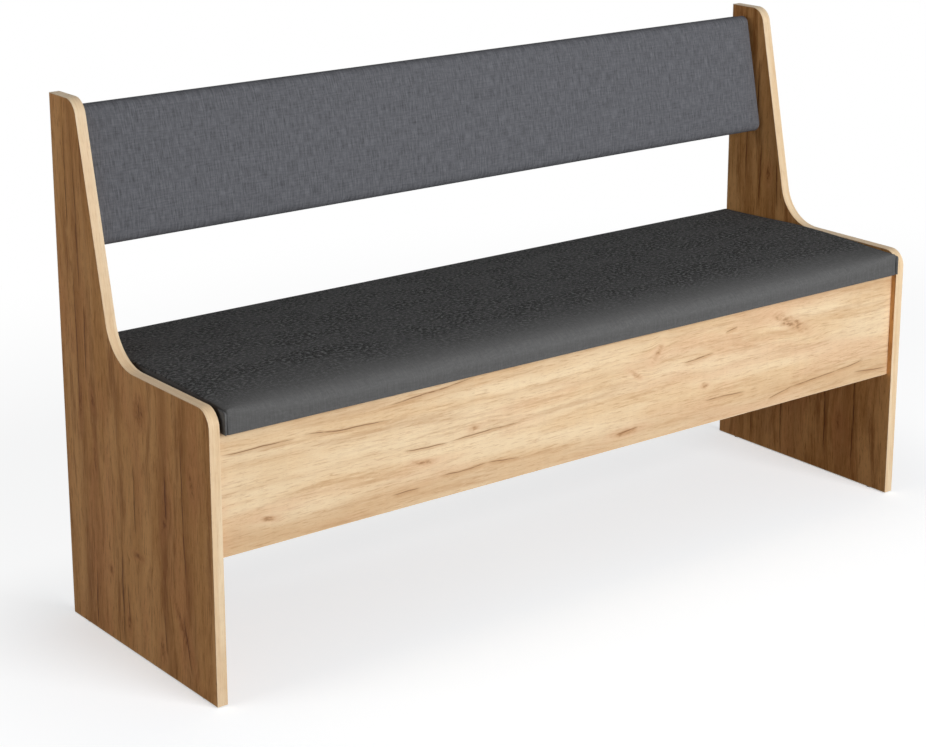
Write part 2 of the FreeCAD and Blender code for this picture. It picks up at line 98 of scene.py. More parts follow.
# Cloth of the pads: places on it are counted round the pad from its low foot
THREAD_PITCH = 1.3 * MM
ROLL_FROM = 45.0 * MM  # where the front starts to turn to the top
ROLL_TO = 150.0 * MM
REAR_FROM = 470.0 * MM  # where it turns from the top to the seat's rear face
REAR_TO = 505.0 * MM
ROLL_HIGHLIGHT_AT = 37.0 * MM  # middle line of the painted highlight on the front roll
ROLL_HIGHLIGHT_WIDTH = 19.0 * MM

# Linings
STAPLE_PITCH = 70.0 * MM
LINING_THICKNESS = 0.4 * MM
LINING_GAP = 0.35 * MM  # from the pad's back to the middle of the lining
LINING_SAG = 0.25 * MM
LINING_WAVE = 0.12 * MM
LINING_WAVE_RUN = 20.0 * MM  # way from the edge along which the waves die out


# Node trees

def srgb(red, green, blue):
    """Linear colour of one written in sRGB from 0 to 255."""
    share = np.array((red, green, blue)) / 255
    linear = np.where(share <= 0.04045, share / 12.92, ((share + 0.055) / 1.055) ** 2.4)
    return (*linear.tolist(), 1.0)


def socket_label(name):
    """Label of a socket whose name is written as a keyword, with _ for spaces."""
    return name.replace("_", " ").title()


class Tree:
    """A node tree written as formulas: each method adds a node and gives its main output."""

    def __init__(self, tree):
        self.tree = tree

    def feed(self, socket, value):
        """Set an input to a value, or link it to another node's output."""
        if isinstance(value, bpy.types.NodeSocket):
            self.tree.links.new(value, socket)
        else:
            socket.default_value = value

    def node(self, kind, inputs, **settings):
        """A node with its settings, and its inputs as values or as other nodes' outputs."""
        made = self.tree.nodes.new(kind)
        for name, value in settings.items():
            setattr(made, name, value)
        for key, value in inputs.items():
            self.feed(made.inputs[key], value)
        return made

    def math(self, operation, *values):
        return self.node("ShaderNodeMath", dict(enumerate(values)), operation=operation).outputs[0]

    def plus(self, first, second):
        return self.math("ADD", first, second)

    def minus(self, first, second):
        return self.math("SUBTRACT", first, second)

    def times(self, first, second):
        return self.math("MULTIPLY", first, second)

    def point(self, x, y, z):
        return self.node("ShaderNodeCombineXYZ", {0: x, 1: y, 2: z}).outputs[0]

    def split(self, vector):
        return self.node("ShaderNodeSeparateXYZ", {0: vector}).outputs

    def scaled(self, vector, *scales):
        """Vector with each of its parts multiplied by its own scale."""
        return self.node("ShaderNodeVectorMath", {0: vector, 1: scales}, operation="MULTIPLY").outputs[0]

    def bell(self, value):
        """Bell curve of a value: e to the power of minus its square."""
        return self.math("EXPONENT", self.times(self.times(value, value), -1.0))

    def noise(self, vector, detail=2.0, roughness=0.5):
        """Smooth noise from 0 to 1, one swell to each unit of the vector."""
        inputs = {"Vector": vector, "Scale": 1.0, "Detail": detail, "Roughness": roughness}
        return self.node("ShaderNodeTexNoise", inputs).outputs["Fac"]

    def ease(self, value, low, high, at_low=0.0, at_high=1.0):
        """Smooth step from at_low, where the value is low, to at_high, where it is high."""
        inputs = {"Value": value, "From Min": low, "From Max": high, "To Min": at_low, "To Max": at_high}
        return self.node("ShaderNodeMapRange", inputs, interpolation_type="SMOOTHSTEP").outputs[0]

    def blend(self, share, first, second):
        """Colour that goes from the first to the second as the share goes from 0 to 1."""
        return self.node("ShaderNodeMix", {0: share, 6: first, 7: second}, data_type="RGBA").outputs[2]

    def shade(self, colour, factor):
        """Colour made lighter or darker by a factor."""
        inputs = {0: 1.0, 6: colour, 7: factor}
        return self.node("ShaderNodeMix", inputs, data_type="RGBA", blend_type="MULTIPLY").outputs[2]

    def place(self, group, **inputs):
        """A node group with its inputs."""
        made = self.node("ShaderNodeGroup", {}, node_tree=group)
        for name, value in inputs.items():
            self.feed(made.inputs[socket_label(name)], value)
        return made.outputs


def new_group(name, inputs, outputs):
    """An empty shader group with named sockets: its tree, its inputs and a way to set its outputs."""
    group = bpy.data.node_groups.new(name, "ShaderNodeTree")
    kinds = {"value": "NodeSocketFloat", "colour": "NodeSocketColor", "vector": "NodeSocketVector"}
    for label, kind in inputs.items():
        group.interface.new_socket(label, in_out="INPUT", socket_type=kinds[kind])
    for label, kind in outputs.items():
        group.interface.new_socket(label, in_out="OUTPUT", socket_type=kinds[kind])
    tree = Tree(group)
    into = group.nodes.new("NodeGroupInput").outputs
    out = group.nodes.new("NodeGroupOutput")

    def give(**results):
        for label, socket in results.items():
            tree.feed(out.inputs[socket_label(label)], socket)

    return tree, into, give


def hair_crack_group():
    """A hair crack: a thin line along the grain from start to end, and a soft shade beside it.

    The line rises evenly and wanders a little with the wave. Its width swells from both ends to the middle
    as a parabola, and the faint noise lets it fade in and out.
    """
    wander, least_width = 10.0 * MM, 0.2 * MM
    shade_below, shade_above = 9.0 * MM, 3.5 * MM
    values = ("Along", "Across", "Wave", "Faint", "Start", "End", "Level", "Rise", "Width")
    outputs = {"Line": "value", "Shade": "value"}
    tree, into, give = new_group("hair_crack", dict.fromkeys(values, "value"), outputs)
    span = {"Value": into["Along"], "From Min": into["Start"], "From Max": into["End"]}
    share = tree.node("ShaderNodeMapRange", span).outputs[0]
    taper = tree.times(tree.times(share, tree.minus(1.0, share)), 4.0)
    there = tree.ease(taper, 0.0, 0.7)
    straight = tree.plus(into["Level"], tree.times(into["Rise"], share))
    line = tree.plus(straight, tree.times(tree.minus(into["Wave"], 0.5), wander))
    beside = tree.minus(into["Across"], line)
    width = tree.plus(tree.times(into["Width"], taper), least_width)
    near = tree.ease(tree.math("DIVIDE", tree.math("ABSOLUTE", beside), width), 0.2, 1.0, 1.0, 0.0)
    lower = tree.ease(beside, -shade_below, 0.0)
    upper = tree.ease(beside, 0.0, shade_above, 1.0, 0.0)
    inked = tree.ease(into["Faint"], 0.32, 0.52, 0.35, 1.0)
    give(line=tree.times(tree.times(near, there), inked), shade=tree.times(tree.times(lower, upper), there))
    return tree.tree


def knot_group():
    """A small knot: a smudge with uneven edges, broken up into flecks, its halo, and its push on the grain.

    The smudge fades with the distance from its middle, counted in half lengths along the grain and half
    widths off a sloping line through it, with noise added. The push dies out as a bell curve of it.
    """
    values = ("Along", "Across", "Uneven", "Flecks", "Middle Along", "Middle Across", "Half Length",
              "Half Width", "Slope")
    outputs = {"Mask": "value", "Halo": "value", "Push": "value"}
    tree, into, give = new_group("knot", dict.fromkeys(values, "value"), outputs)
    ahead = tree.minus(into["Along"], into["Middle Along"])
    along = tree.math("DIVIDE", ahead, into["Half Length"])
    beside = tree.minus(tree.minus(into["Across"], into["Middle Across"]), tree.times(ahead, into["Slope"]))
    across = tree.math("DIVIDE", beside, into["Half Width"])
    square = tree.plus(tree.times(along, along), tree.times(across, across))
    distance = tree.plus(tree.math("SQRT", square), tree.times(tree.minus(into["Uneven"], 0.5), 1.6))
    smudge = tree.ease(distance, 0.2, 1.5, 1.0, 0.0)
    halo = tree.ease(distance, 0.4, 2.6, 1.0, 0.0)
    flecked = tree.ease(into["Flecks"], 0.36, 0.70, 0.45, 1.0)
    fade = tree.math("EXPONENT", tree.times(square, -0.22))
    give(mask=tree.times(smudge, flecked), halo=halo, push=tree.times(tree.times(beside, fade), 0.6))
    return tree.tree


def oak_grain_group():
    """Printed oak: broad clouds of three tones, streaks, short fibres, pores and a faint cross figure.

    Each is smooth noise of the place on the board, with the place across the grain scaled up far more
    than the place along it, and with a slow wander added across, so that the lines swing together.
    """
    inputs = {"Along": "value", "Across": "value", "Depth": "value", "Seed": "value", "Breadth": "value",
              "Bands": "value", "Fibres": "value",
              "Pale": "colour", "Tan": "colour", "Rose": "colour", "Umber": "colour"}
    outputs = {"Color": "colour", "Height": "value", "Roughness": "value"}
    tree, into, give = new_group("oak_grain", inputs, outputs)
    along, across, seed = into["Along"], into["Across"], into["Seed"]
    layer = tree.plus(tree.times(into["Depth"], 9.0), seed)

    def streaks(run, spread, detail, roughness, line):
        """Noise with a number of swells to the metre: run along the grain and spread across it."""
        place = tree.point(tree.plus(tree.times(along, run), seed), tree.times(line, spread), layer)
        return tree.noise(place, detail, roughness)

    wander = tree.minus(streaks(1.6, 4.0, 2.0, 0.5, across), 0.5)
    line = tree.plus(across, tree.times(wander, 0.035))
    broad = tree.math("DIVIDE", line, into["Breadth"])
    clouds = streaks(2.6, 1.0, 4.0, 0.55, broad)
    blush = streaks(3.4, 0.7, 3.0, 0.5, tree.plus(broad, 7.0))
    bands = streaks(5.0, 70.0, 4.0, 0.62, line)
    fibres = streaks(34.0, 460.0, 3.0, 0.62, line)
    pores = streaks(110.0, 1500.0, 2.0, 0.5, line)
    cross = streaks(75.0, 12.0, 2.0, 0.5, line)
    colour = tree.blend(tree.ease(clouds, 0.39, 0.61), into["Pale"], into["Tan"])
    colour = tree.blend(tree.ease(blush, 0.48, 0.68, 0.0, 0.60), colour, into["Rose"])
    colour = tree.blend(tree.times(tree.ease(bands, 0.48, 0.72), into["Bands"]), colour, into["Umber"])
    colour = tree.blend(tree.times(tree.ease(fibres, 0.51, 0.74), into["Fibres"]), colour, into["Umber"])
    colour = tree.blend(tree.times(tree.ease(fibres, 0.47, 0.28), into["Fibres"]), colour, into["Pale"])
    pore = tree.ease(pores, 0.60, 0.74)
    colour = tree.blend(tree.times(pore, 0.45), colour, into["Umber"])
    colour = tree.shade(colour, tree.ease(cross, 0.3, 0.7, 0.982, 1.014))
    height = tree.minus(tree.times(fibres, 0.5), tree.times(pore, 0.5))
    give(color=colour, height=height, roughness=tree.plus(0.50, tree.times(pore, 0.18)))
    return tree.tree


def weave_group():
    """Plain weave of uneven yarn, with two coarser effects of the same yarn, and heights in millimetres.

    Threads pass over and under in a checker of the pitch. Yarn that is thick and thin by turns leaves
    streaks both ways, long along the thread and narrow across it. Nubs in it leave a grain of light raised
    dashes, stronger in some patches than in others.
    """
    slip = 1.2 * MM  # how far uneven yarn moves a thread aside
    inputs = {"Cloth": "vector", "Pitch": "value", "Slub": "value", "Grain": "value"}
    tree, into, give = new_group("weave", inputs, {"Shade": "value", "Height": "value"})
    u, v, _ = tree.split(into["Cloth"])

    def yarn(u_scale, v_scale, layer, detail):
        place = tree.point(tree.times(u, u_scale), tree.times(v, v_scale), layer)
        return tree.minus(tree.noise(place, detail, 0.6), 0.5)

    upright = yarn(430.0, 42.0, 1.0, 3.0)
    level = yarn(45.0, 380.0, 5.0, 3.0)
    nubs = tree.ease(yarn(140.0, 210.0, 9.0, 4.0), -0.07, 0.17, -0.17, 0.33)
    patches = tree.ease(yarn(13.0, 22.0, 13.0, 2.0), -0.12, 0.12, 0.65, 1.35)
    turn = tree.math("DIVIDE", math.pi, into["Pitch"])
    warp = tree.math("SINE", tree.times(tree.plus(u, tree.times(upright, slip)), turn))
    weft = tree.math("SINE", tree.times(tree.plus(v, tree.times(level, slip)), turn))
    over = tree.math("GREATER_THAN", tree.times(warp, weft), 0.0)
    thread = tree.plus(tree.times(over, tree.math("ABSOLUTE", warp)),
                       tree.times(tree.minus(1.0, over), tree.math("ABSOLUTE", weft)))
    slub = tree.times(tree.plus(upright, tree.times(level, 0.5)), into["Slub"])
    grain = tree.times(tree.times(nubs, patches), into["Grain"])
    shade = tree.plus(tree.plus(0.80, tree.times(thread, 0.30)), tree.plus(slub, tree.times(grain, 0.8)))
    height = tree.plus(tree.times(thread, 0.15), tree.plus(tree.times(slub, 0.2), grain))
    give(shade=shade, height=height)
    return tree.tree


def mottle_group():
    """Uneven metal or plastic: soft clouds, and fine scratches or brushing along X."""
    inputs = {"Place": "vector", "Clouds": "value", "Scratches": "value"}
    outputs = {"Shade": "value", "Roughness": "value", "Height": "value"}
    tree, into, give = new_group("mottle", inputs, outputs)
    cloud = tree.noise(tree.scaled(into["Place"], 300.0, 300.0, 300.0), 4.0, 0.6)
    scratch = tree.noise(tree.scaled(into["Place"], 500.0, 4000.0, 4000.0))
    uneven = tree.plus(tree.times(tree.minus(cloud, 0.5), into["Clouds"]),
                       tree.times(tree.minus(scratch, 0.5), into["Scratches"]))
    give(shade=tree.plus(1.0, uneven), roughness=tree.plus(0.38, uneven), height=tree.plus(cloud, scratch))
    return tree.tree


HAIR_CRACK = hair_crack_group()
KNOT = knot_group()
OAK_GRAIN = oak_grain_group()
WEAVE = weave_group()
MOTTLE = mottle_group()


# Finishes

def new_finish(name, **sockets):
    """A material: its node tree and its Principled shader, with the sockets that are the same all over."""
    material = bpy.data.materials.new(name)
    material.use_nodes = True
    shader = material.node_tree.nodes["Principled BSDF"]
    for label, value in sockets.items():
        shader.inputs[label.replace("_", " ")].default_value = value
    return material, Tree(material.node_tree), shader


def drive(tree, shader, colour, roughness, height, strength, depth=0.2 * MM):
    """Lead what changes over the surface to the shader, the height through a Bump node."""
    tree.feed(shader.inputs["Base Color"], colour)
    if roughness is not None:
        tree.feed(shader.inputs["Roughness"], roughness)
    bump = tree.node("ShaderNodeBump", {"Strength": strength, "Distance": depth, "Height": height})
    tree.feed(shader.inputs["Normal"], bump.outputs[0])


def object_place(tree):
    return tree.node("ShaderNodeTexCoord", {}).outputs["Object"]


def cloth_place(tree):
    return tree.node("ShaderNodeUVMap", {}, uv_map="cloth").outputs[0]


# Prints: tones, width of the broad clouds across the grain, fineness across, strength of bands and of fibres
Tones = namedtuple("Tones", "pale tan rose umber crack", defaults=(None,))
Print = namedtuple("Print", "tones breadth fineness bands fibres")
FRONT_TONES = Tones(srgb(250, 225, 187), srgb(239, 207, 165), srgb(237, 198, 161), srgb(190, 142, 98),
                    srgb(128, 88, 54))
# Side tones: the front's print made darker and redder, partly a tone of their own and partly painted shade.
SHADED_SIDE_TONES = Tones(srgb(225, 169, 109), srgb(202, 145, 86), srgb(207, 142, 90), srgb(138, 81, 31),
                   srgb(80, 40, 10))
SIDE_BAND_TONES = Tones(srgb(250, 226, 190), srgb(242, 212, 171), srgb(244, 214, 177), srgb(214, 175, 129))
PANEL_BAND_TONES = Tones(srgb(245, 221, 186), srgb(236, 206, 166), srgb(238, 208, 170), srgb(208, 168, 122))
FRONT_PRINT = Print(FRONT_TONES, 40.0 * MM, 1.0, 0.40, 0.50)
SHADED_SIDE_PRINT = Print(SHADED_SIDE_TONES, 28.0 * MM, 0.6, 0.75, 0.60)
SIDE_BAND_PRINT = Print(SIDE_BAND_TONES, 9.0 * MM, 1.0, 0.30, 0.45)
PANEL_BAND_PRINT = Print(PANEL_BAND_TONES, 9.0 * MM, 1.0, 0.30, 0.45)

# Marks on a board, in mm on it, along and across the grain. A hair crack: start along, level across, end
# along, level there, width. A knot: middle along, middle across, half length, half width, slope.
# A zone: level across, half width, share of the dark tone.
Marks = namedtuple("Marks", "cracks knots zones")
NO_MARKS = Marks((), (), ())
FRONT_MARKS = Marks(
    cracks=(
        (-731, 398, -585, 396, 1.1), (-588, 399, -400, 388, 1.3), (-430, 412, -240, 426, 1.3),
        (-395, 331, -295, 327, 1.2), (-305, 327, -145, 330, 1.3), (-324, 273, -215, 274, 1.1),
        (-225, 274, -150, 270, 0.8), (-415, 262, -355, 261, 0.9), (205, 361, 284, 364, 1.1),
        (306, 397, 338, 402, 0.7), (256, 279, 365, 278, 1.1), (415, 250, 482, 263, 0.9),
        (468, 261, 606, 269, 1.2), (590, 268, 668, 278, 1.1), (636, 258, 731, 251, 1.0),
        (50, 260, 110, 264, 1.3),
    ),
    knots=(
        (470, 385, 42, 11, -0.42), (148, 389, 10, 9, 0.9), (98, 361, 13, 5, -0.55), (260, 309, 9, 5, 0.0),
        (-249, 339, 14, 5, 0.1), (-350, 304, 22, 5, -0.15), (80, 262, 32, 6, 0.05), (-645, 280, 16, 5, -0.2),
    ),
    zones=((430, 20, 0.30), (252, 26, 0.30), (376, 7, 0.12), (334, 5, 0.12)),
)
LEFT_MARKS = Marks(
    cracks=(
        (-2, 145, 120, 143, 2.0), (-2, 60, 185, 58, 2.4), (40, 40, 120, 44, 1.8), (255, -85, 340, -86, 2.6),
        (150, -140, 430, -134, 1.6), (200, 10, 330, 12, 1.6), (330, 175, 640, 178, 1.6),
        (420, 150, 560, 147, 1.8), (30, -75, 110, -70, 2.2), (20, -150, 130, -128, 1.8),
        (560, 160, 800, 163, 1.6), (660, 190, 850, 188, 1.6),
    ),
    knots=(
        (418, -15, 24, 15, 0.0), (387, 172, 34, 5, -0.1), (396, 132, 14, 6, 0.2), (300, 132, 26, 5, 0.0),
        (297, -88, 14, 6, 0.2), (255, -80, 26, 8, -0.2), (340, -165, 22, 7, 0.2), (123, 95, 9, 6, 0.0),
        (50, 42, 18, 5, 0.0), (40, -62, 24, 7, 0.0), (95, -128, 42, 8, 0.55), (174, 6, 5, 14, 0.0),
    ),
    zones=((-80, 15, 0.40), (168, 12, 0.32), (132, 9, 0.25), (-148, 12, 0.30), (60, 8, 0.20), (0, 7, 0.15)),
)
RIGHT_MARKS = Marks(
    cracks=(
        (-2, 141, 240, 139, 2.2), (-2, 57, 240, 59, 2.2), (10, -134, 240, -130, 2.2),
        (20, -60, 200, -56, 1.6), (480, 141, 640, 136, 2.0), (490, 93, 600, 96, 1.8),
        (640, 150, 790, 152, 1.8), (520, 180, 700, 178, 1.6),
    ),
    knots=((110, -95, 22, 7, 0.1), (560, 118, 18, 6, 0.0)),
    zones=((-110, 18, 0.35), (20, 14, 0.30), (110, 16, 0.35), (170, 10, 0.30)),
)
BACK_MARKS = Marks(
    cracks=(
        (-600, 300, -380, 306, 1.8), (-120, 380, 120, 372, 1.8), (250, 290, 420, 296, 1.6),
        (430, 400, 690, 396, 1.8),
    ),
    knots=((-300, 350, 24, 10, 0.2), (180, 330, 11, 6, -0.3), (560, 300, 12, 7, 0.0)),
    zones=((420, 22, 0.30), (290, 18, 0.25)),
)


def oak_print(tree, decor, along, across, depth, seed):
    """Colour, height and roughness of a print at a place on a board."""
    tones = decor.tones
    return tree.place(OAK_GRAIN, along=along, across=tree.times(across, decor.fineness), depth=depth,
                      seed=seed, breadth=decor.breadth, bands=decor.bands, fibres=decor.fibres,
                      pale=tones.pale, tan=tones.tan, rose=tones.rose, umber=tones.umber)


def oak_finish(name, upright, seed, decor, marks):
    """Oak decor with its grain along Z (upright) or along X, and with its marks.

    A zone's share of the dark tone is a bell curve of the distance from its level, which wanders slowly.
    """
    zone_wander = 40.0 * MM
    material, tree, shader = new_finish(name, Specular_IOR_Level=0.07)
    x, y, z = tree.split(object_place(tree))
    along, across, depth = (z, y, x) if upright else (x, z, y)
    flow = across
    rings = []

    def uneven(along_scale, across_scale, detail):
        place = tree.point(tree.times(along, along_scale), tree.times(across, across_scale), seed)
        return tree.noise(place, detail)

    wave, faint = uneven(11.0, 25.0, 2.0), uneven(40.0, 60.0, 2.0)
    edges, flecks, slow = uneven(60.0, 100.0, 3.0), uneven(100.0, 240.0, 2.0), uneven(3.0, 12.0, 3.0)
    for middle_along, middle_across, length, width, slope in marks.knots:
        knot = tree.place(KNOT, along=along, across=across, uneven=edges, flecks=flecks,
                          middle_along=middle_along * MM, middle_across=middle_across * MM,
                          half_length=length * MM, half_width=width * MM, slope=slope)
        flow = tree.minus(flow, knot["Push"])
        rings.append(knot)
    tones = decor.tones
    grain = oak_print(tree, decor, along, flow, depth, seed)
    colour = grain["Color"]
    height = grain["Height"]
    swung = tree.plus(flow, tree.times(tree.minus(slow, 0.5), zone_wander))
    for level, half_width, share in marks.zones:
        off = tree.math("DIVIDE", tree.minus(swung, level * MM), half_width * MM)
        colour = tree.blend(tree.times(tree.bell(off), share), colour, tones.umber)
    for knot in rings:
        colour = tree.blend(tree.times(knot["Halo"], 0.45), colour, tones.rose)
        colour = tree.blend(tree.times(knot["Mask"], 0.75), colour, tones.umber)
        colour = tree.blend(tree.ease(knot["Mask"], 0.45, 1.0, 0.0, 0.35), colour, tones.crack)
    for start, level, end, end_level, width in marks.cracks:
        crack = tree.place(HAIR_CRACK, along=along, across=across, wave=wave, faint=faint, start=start * MM,
                           end=end * MM, level=level * MM, rise=(end_level - level) * MM, width=width * MM)
        colour = tree.blend(tree.times(crack["Shade"], 0.45), colour, tones.umber)
        colour = tree.blend(tree.times(crack["Line"], 0.75), colour, tones.crack)
        height = tree.minus(height, crack["Line"])
    drive(tree, shader, colour, grain["Roughness"], height, 0.25)
    return material


def band_finish(name, upright, seed, decor):
    """Edge band: a light oak print with fine lines that follow it, up and round a side or along X."""
    material, tree, shader = new_finish(name, Specular_IOR_Level=0.25)
    x, y, z = tree.split(object_place(tree))
    along, across, depth = (tree.plus(z, y), x, 0.0) if upright else (x, y, z)
    grain = oak_print(tree, decor, along, across, depth, seed)
    drive(tree, shader, grain["Color"], grain["Roughness"], grain["Height"], 0.12)
    return material


def fabric_finish(name, colour, slub, grain, tone, painted_highlight):
    """Upholstery cloth in a plain weave, on the cover's own map in metres.

    Its grain and its tone are pairs, for the front of the pad and for its top, and a top tone below 1 is
    painted shade. Round the front roll the cloth is made lighter by a share that dies out as a bell curve:
    a painted highlight.
    """
    material, tree, shader = new_finish(name, Roughness=0.9, Specular_IOR_Level=0.08)
    cloth = cloth_place(tree)
    around = tree.split(cloth)[1]
    past_roll = tree.ease(around, ROLL_FROM, ROLL_TO)
    on_top = tree.times(past_roll, tree.ease(around, REAR_FROM, REAR_TO, 1.0, 0.0))

    def turned(front, top):
        return tree.plus(front, tree.times(on_top, top - front))

    weave = tree.place(WEAVE, cloth=cloth, pitch=THREAD_PITCH, slub=slub, grain=turned(*grain))
    # Painted highlight: the cloth is made lighter in a band round the front roll, dying out as a bell curve.
    off = tree.math("DIVIDE", tree.minus(around, ROLL_HIGHLIGHT_AT), ROLL_HIGHLIGHT_WIDTH)
    highlighted = tree.plus(1.0, tree.times(tree.bell(off), painted_highlight))
    # The top's tone below 1 is painted shade: the seat's top is darkened for the light it gets.
    shade = tree.times(weave["Shade"], tree.times(turned(*tone), highlighted))
    drive(tree, shader, tree.shade(colour, shade), None, weave["Height"], 1.0, 1.0 * MM)
    return material


def lining_finish():
    """Black spun lining: matted fibres with a grid of small pressed dots."""
    material, tree, shader = new_finish("black_lining", Roughness=0.9, Specular_IOR_Level=0.2)
    cloth = cloth_place(tree)
    fibres = tree.noise(tree.scaled(cloth, 900.0, 700.0, 0.0), 5.0, 0.7)
    u, v, _ = tree.split(tree.scaled(cloth, 1600.0, 1600.0, 0.0))
    dots = tree.times(tree.math("SINE", u), tree.math("SINE", v))
    dot = tree.ease(dots, 0.35, 0.8)
    shade = tree.plus(tree.plus(0.55, tree.times(fibres, 0.9)), tree.times(dot, 0.25))
    height = tree.minus(fibres, tree.times(dot, 0.8))
    drive(tree, shader, tree.shade(srgb(38, 38, 40), shade), None, height, 0.5, 0.3 * MM)
    return material


def mottled_finish(name, colour, clouds, scratches, metallic):
    """Metal or plastic with soft clouds and fine scratches."""
    material, tree, shader = new_finish(name, Metallic=metallic)
    mottle = tree.place(MOTTLE, place=object_place(tree), clouds=clouds, scratches=scratches)
    colour = tree.shade(colour, mottle["Shade"])
    drive(tree, shader, colour, mottle["Roughness"], mottle["Height"], 0.1, 0.05 * MM)
    return material


def chipboard_finish():
    """Raw chipboard: flat flakes of several tones, as cells of different brightness."""
    material, tree, shader = new_finish("raw_chipboard", Roughness=0.9)
    place = tree.scaled(object_place(tree), 260.0, 420.0, 600.0)
    flakes = tree.node("ShaderNodeTexVoronoi", {"Vector": place, "Scale": 1.0})
    tone = tree.split(flakes.outputs["Color"])[0]
    colour = tree.blend(tone, srgb(206, 176, 132), srgb(164, 128, 86))
    drive(tree, shader, colour, None, tone, 0.4)
    return material


def hardboard_finish():
    """Thin fibreboard: brown felted fibres, seen as fine noise over soft clouds."""
    material, tree, shader = new_finish("hardboard", Roughness=0.7)
    place = object_place(tree)
    fibres = tree.noise(tree.scaled(place, 420.0, 420.0, 420.0), 6.0, 0.7)
    clouds = tree.noise(tree.scaled(place, 6.0, 9.0, 0.0), 3.0)
    colour = tree.blend(tree.ease(fibres, 0.3, 0.7), srgb(176, 134, 90), srgb(140, 100, 62))
    colour = tree.shade(colour, tree.plus(0.86, tree.times(clouds, 0.28)))
    drive(tree, shader, colour, None, fibres, 0.3)
    return material


def beech_finish():
    """Beech dowel: pale pinkish wood with short dark flecks along X."""
    material, tree, shader = new_finish("beech", Roughness=0.6)
    flecks = tree.noise(tree.scaled(object_place(tree), 300.0, 1600.0, 1600.0), 3.0)
    colour = tree.blend(tree.ease(flecks, 0.5, 0.7), srgb(222, 184, 140), srgb(178, 132, 92))
    drive(tree, shader, colour, None, flecks, 0.2)
    return material


def dress(finish, *names):
    """Give CAD nodes a finish."""
    for name in names:
        mesh = nodes[name].data
        mesh.materials.clear()
        mesh.materials.append(finish)


def dress_boards_and_fittings():
    dress(oak_finish("oak_front", False, 21.3, FRONT_PRINT, FRONT_MARKS), "front_panel")
    dress(oak_finish("oak_back", False, 5.0, FRONT_PRINT, BACK_MARKS), "back_panel")
    dress(oak_finish("oak_stretcher", False, 8.0, FRONT_PRINT, NO_MARKS), "centre_stretcher")
    # The side boards' print is darkened in part as painted shade.
    dress(oak_finish("oak_left", True, 11.0, SHADED_SIDE_PRINT, LEFT_MARKS), "left_side_panel")
    dress(oak_finish("oak_right", True, 14.0, SHADED_SIDE_PRINT, RIGHT_MARKS), "right_side_panel")
    side_band = band_finish("oak_edge_band", True, 7.3, SIDE_BAND_PRINT)
    dress(side_band, "left_side_edge_band", "right_side_edge_band")
    panel_band = band_finish("oak_panel_band", False, 3.1, PANEL_BAND_PRINT)
    dress(panel_band, "front_panel_edge_bands", "back_panel_edge_bands")
    dress(hardboard_finish(), "bottom_panel")
    dress(chipboard_finish(), "seat_board", "backrest_board")
    dress(beech_finish(), "wood_dowels")
    dress(mottled_finish("zinc_cast", srgb(176, 176, 174), 0.30, 0.05, 1.0), "cam_housings")
    steel = mottled_finish("galvanised_steel", srgb(196, 198, 200), 0.18, 0.12, 1.0)
    brackets = [f"{side}_{level}_bracket" for side in ("left", "right") for level in ("lower", "upper")]
    hinges = [f"{side}_hinge_{part}" for side in ("left", "centre", "right")
              for part in ("fixed_leaf", "lid_leaf", "pin")]
    fasteners = ["cam_bolts", "bracket_screws", "hinge_frame_screws", "hinge_lid_screws",
                 "seat_staples", "backrest_staples"]
    dress(steel, *brackets, *hinges, *fasteners)
    dress(mottled_finish("glide_plastic", srgb(60, 52, 46), 0.12, 0.05, 0.0), "floor_glides")


def add_object(name, data):
    """A new object in the scene."""
    made = bpy.data.objects.new(name, data)
    bpy.context.scene.collection.objects.link(made)
    return made


# Upholstery

def grid_faces(rows, columns):
    """Quads of a grid of rows by columns points, numbered row by row."""
    first = np.arange(rows - 1)[:, None] * columns + np.arange(columns - 1)
    return np.stack((first, first + 1, first + columns + 1, first + columns), axis=-1).reshape(-1, 4)


